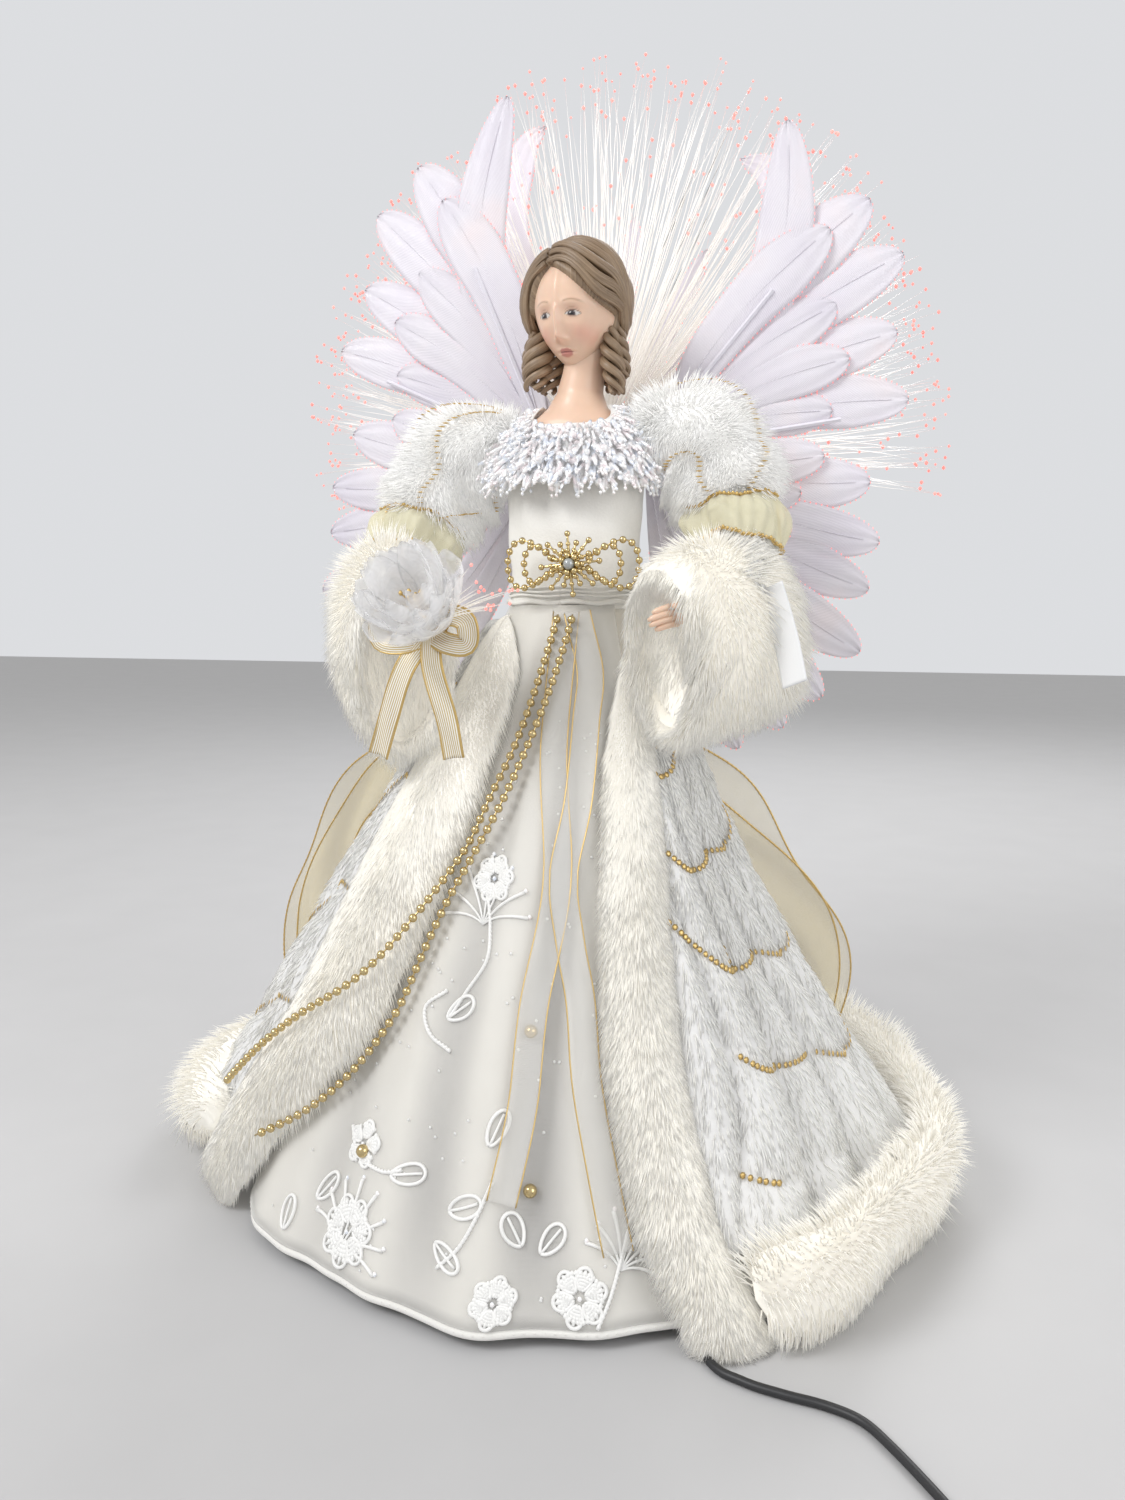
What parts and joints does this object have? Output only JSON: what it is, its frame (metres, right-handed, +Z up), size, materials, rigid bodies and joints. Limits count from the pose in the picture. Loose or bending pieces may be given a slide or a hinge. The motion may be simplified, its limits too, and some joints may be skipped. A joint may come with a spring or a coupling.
{
  "type": "angel tree topper",
  "caption": "Doll-like angel tree topper in a lace gown and fur-trimmed coat, with folding feather wings and a fibre-optic fan lit from inside its cone.",
  "frame": {"origin": "on the floor, under the middle of the whole figure without its free lead", "axes": "+Z up along the cone, the doll faces -Y, +X is the viewer's right"},
  "size_m": [0.3376, 0.3904, 0.4558],
  "materials": {
    "board": "matt pressed board and moulded plastic, off-white",
    "light_plastic": "satin white plastic",
    "steel": "plain bright metal",
    "bulb": "clear lamp glass",
    "film": "clear film printed in four colours",
    "fibre": "glossy clear plastic fibre, lit at the tips",
    "porcelain": "satin painted skin tone",
    "hair": "moulded and painted brown hair",
    "felt": "white felt",
    "gown": "cream woven cloth",
    "lace": "white lace with sequin flowers",
    "plush": "short white plush with gold sequin lines",
    "fur": "long cream faux fur",
    "gold": "gold-coloured metal and beads",
    "organza": "sheer gold-edged organza",
    "feather": "pale iridescent fibre feathers",
    "bead": "iridescent glass-like beads",
    "black_cable": "black flexible sheath"
  },
  "bodies": {
    "figure": {"back_plumes": "feather", "base_ring": "board", "bead_bow": "gold", "bead_strand_lower": "gold", "bead_strand_upper": "gold", "blank_label": "felt", "bodice": "felt", "bouquet_flower": "organza", "bouquet_ribbon": "organza", "brooch": "gold", "coat_skirt": "plush", "collar_fringe": "bead", "cord_coil": "black_cable", "cord_grommet": "black_cable", "cord_tail": "black_cable", "dc_plug": "black_cable", "fiber_bundle": "fibre", "fiber_fan_back": "fibre", "fiber_fan_front": "fibre", "fiber_ferrule": "steel", "gown_hem": "felt", "gown_skirt": "gown", "hair": "hair", "head_and_neck": "porcelain", "hem_fur": "fur", "inner_lead": "black_cable", "lace_overlay": "lace", "lamp_bulb": "bulb", "lamp_socket": "steel", "left_arm": "porcelain", "left_cuff": "fur", "left_elbow_ribbon": "organza", "left_fur_border": "fur", "left_ribbon_tail": "organza", "left_shoulder_fur": "fur", "left_sleeve": "plush", "left_streamer": "organza", "light_cover": "light_plastic", "light_shelf": "light_plastic", "power_cord": "black_cable", "right_arm": "porcelain", "right_cuff": "fur", "right_elbow_ribbon": "organza", "right_fur_border": "fur", "right_ribbon_tail": "organza", "right_shoulder_fur": "fur", "right_sleeve": "plush", "right_streamer": "organza", "skirt_cone": "board", "torso": "board", "wheel_motor": "steel", "wing_bracket": "steel"},
    "wheel": {"wheel_hub": "light_plastic", "color_wheel": "film"},
    "left_wing": {"left_wing_frame": "steel", "left_short_feathers": "feather", "left_long_feathers": "feather"},
    "right_wing": {"right_wing_frame": "steel", "right_short_feathers": "feather", "right_long_feathers": "feather"}
  },
  "joints": [
    {"name": "wheel_spin", "type": "hinge", "parent": "figure", "child": "wheel", "pos_m": [0.023, -0.007, 0.149], "axis": [0, 0, 1], "continuous": true},
    {"name": "left_wing_fold", "type": "hinge", "parent": "figure", "child": "left_wing", "pos_m": [-0.002, 0.0155, 0.28], "axis": [0, 0, 1], "range_deg": [0, 10]},
    {"name": "right_wing_fold", "type": "hinge", "parent": "figure", "child": "right_wing", "pos_m": [0.026, 0.0155, 0.28], "axis": [0, 0, -1], "range_deg": [0, 10]}
  ]
}
